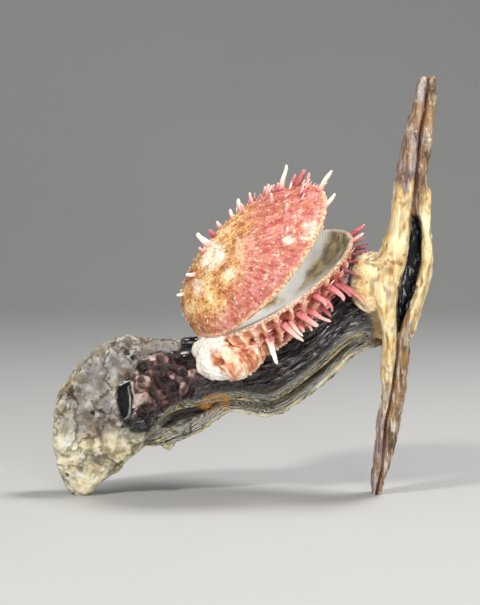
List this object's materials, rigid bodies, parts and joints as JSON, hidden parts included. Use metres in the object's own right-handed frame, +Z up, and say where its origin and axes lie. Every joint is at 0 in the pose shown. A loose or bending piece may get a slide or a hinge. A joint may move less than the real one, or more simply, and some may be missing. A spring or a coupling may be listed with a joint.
{
  "type": "spiny oyster shell",
  "caption": "Gaping spiny oyster shell with a ribbed, spined outside and a hollow inside, grown onto a T-shaped hammer oyster shell that is its stand",
  "frame": {"origin": "the middle of the cluster's outline seen from above, on the ground plane it stands on", "axes": "+Z up, +X from the thick end of the hammer oyster's blade to its hinge bar, -Y the side the valves gape to"},
  "size_m": [0.1542, 0.0754, 0.169],
  "materials": {
    "hammer_front_shell": "matte",
    "hammer_back_shell": "matte",
    "spiny_lower_shell": "matte",
    "spiny_upper_shell": "matte"
  },
  "bodies": {
    "root": {"hammer_front_valve": "hammer_front_shell", "hammer_back_valve": "hammer_back_shell", "spiny_lower_valve": "spiny_lower_shell", "spiny_upper_valve": "spiny_upper_shell"}
  },
  "joints": []
}
